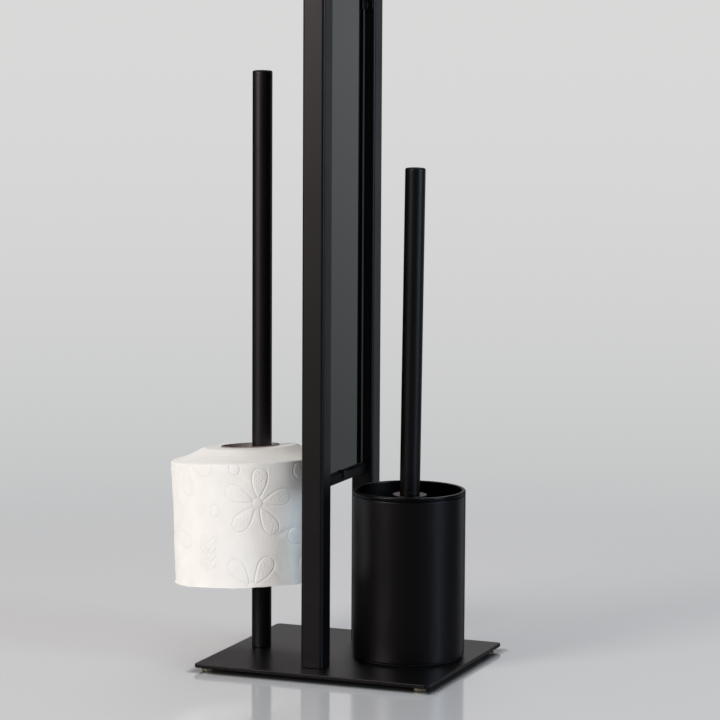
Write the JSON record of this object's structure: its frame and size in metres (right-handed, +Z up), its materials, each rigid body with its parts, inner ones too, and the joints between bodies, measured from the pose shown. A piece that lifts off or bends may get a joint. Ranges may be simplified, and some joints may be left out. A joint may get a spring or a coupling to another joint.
{
  "type": "toilet butler stand",
  "caption": "Free-standing toilet butler: base plate, square tube frame round a dark glass panel, brush in a round cup, rod with a spare roll, and a roll arm at the top.",
  "frame": {"origin": "on the floor, under the middle of the overall width and depth", "axes": "+Z up; +X from the spare roll to the brush; +Y from the front post to the back post"},
  "size_m": [0.2568, 0.1728, 0.7003],
  "materials": {
    "black_steel": "satin black powder coat",
    "black_glass": "polished, black behind the face",
    "black_plastic": "glossy moulded",
    "screw_steel": "blackened steel",
    "rubber": "matt black",
    "clear_pad": "clear amber silicone",
    "paper": "soft embossed tissue",
    "cardboard": "grey-brown board",
    "bristle": "black bristles"
  },
  "bodies": {
    "stand": {"base_plate": "black_steel", "foot_front_left": "clear_pad", "foot_front_right": "clear_pad", "foot_back_left": "clear_pad", "foot_back_right": "clear_pad", "front_post_base_screw": "screw_steel", "back_post_base_screw": "screw_steel", "spare_rod_base_screw": "screw_steel", "front_post": "black_steel", "back_post": "black_steel", "front_post_plug": "screw_steel", "back_post_plug": "screw_steel", "top_rail": "black_steel", "lower_crossbar": "black_steel", "glass_panel": "black_glass", "glass_saddle": "rubber", "glass_clip_front_left": "black_steel", "glass_clip_front_right": "black_steel", "glass_clip_back_left": "black_steel", "glass_clip_back_right": "black_steel", "clip_screw_front_left": "screw_steel", "clip_screw_front_right": "screw_steel", "clip_screw_back_left": "screw_steel", "clip_screw_back_right": "screw_steel", "spare_rod": "black_steel", "spare_rod_plug": "screw_steel", "roll_rest": "black_steel", "roll_rest_grub_screw": "screw_steel", "roll_arm": "black_steel", "roll_arm_plug": "screw_steel", "roll_arm_screw": "screw_steel"},
    "cup": {"cup_sleeve": "black_steel", "cup_ring": "rubber"},
    "liner": {"cup_liner": "black_plastic"},
    "brush": {"brush_handle": "black_steel", "brush_collar": "black_steel", "brush_head": "black_plastic", "brush_grub_screw": "screw_steel", "brush_bristles": "bristle"},
    "spare_roll": {"roll_core": "cardboard", "paper_roll": "paper"}
  },
  "joints": [
    {"name": "cup_lift", "type": "slide", "parent": "stand", "child": "cup", "axis": [0, 0, 1], "range_m": [0, 0.1]},
    {"name": "liner_lift", "type": "slide", "parent": "cup", "child": "liner", "axis": [0, 0, 1], "range_m": [0, 0.14]},
    {"name": "brush_lift", "type": "slide", "parent": "liner", "child": "brush", "axis": [0, 0, 1], "range_m": [0, 0.14]},
    {"name": "spare_roll_lift", "type": "slide", "parent": "stand", "child": "spare_roll", "axis": [0, 0, 1], "range_m": [0, 0.43]}
  ]
}
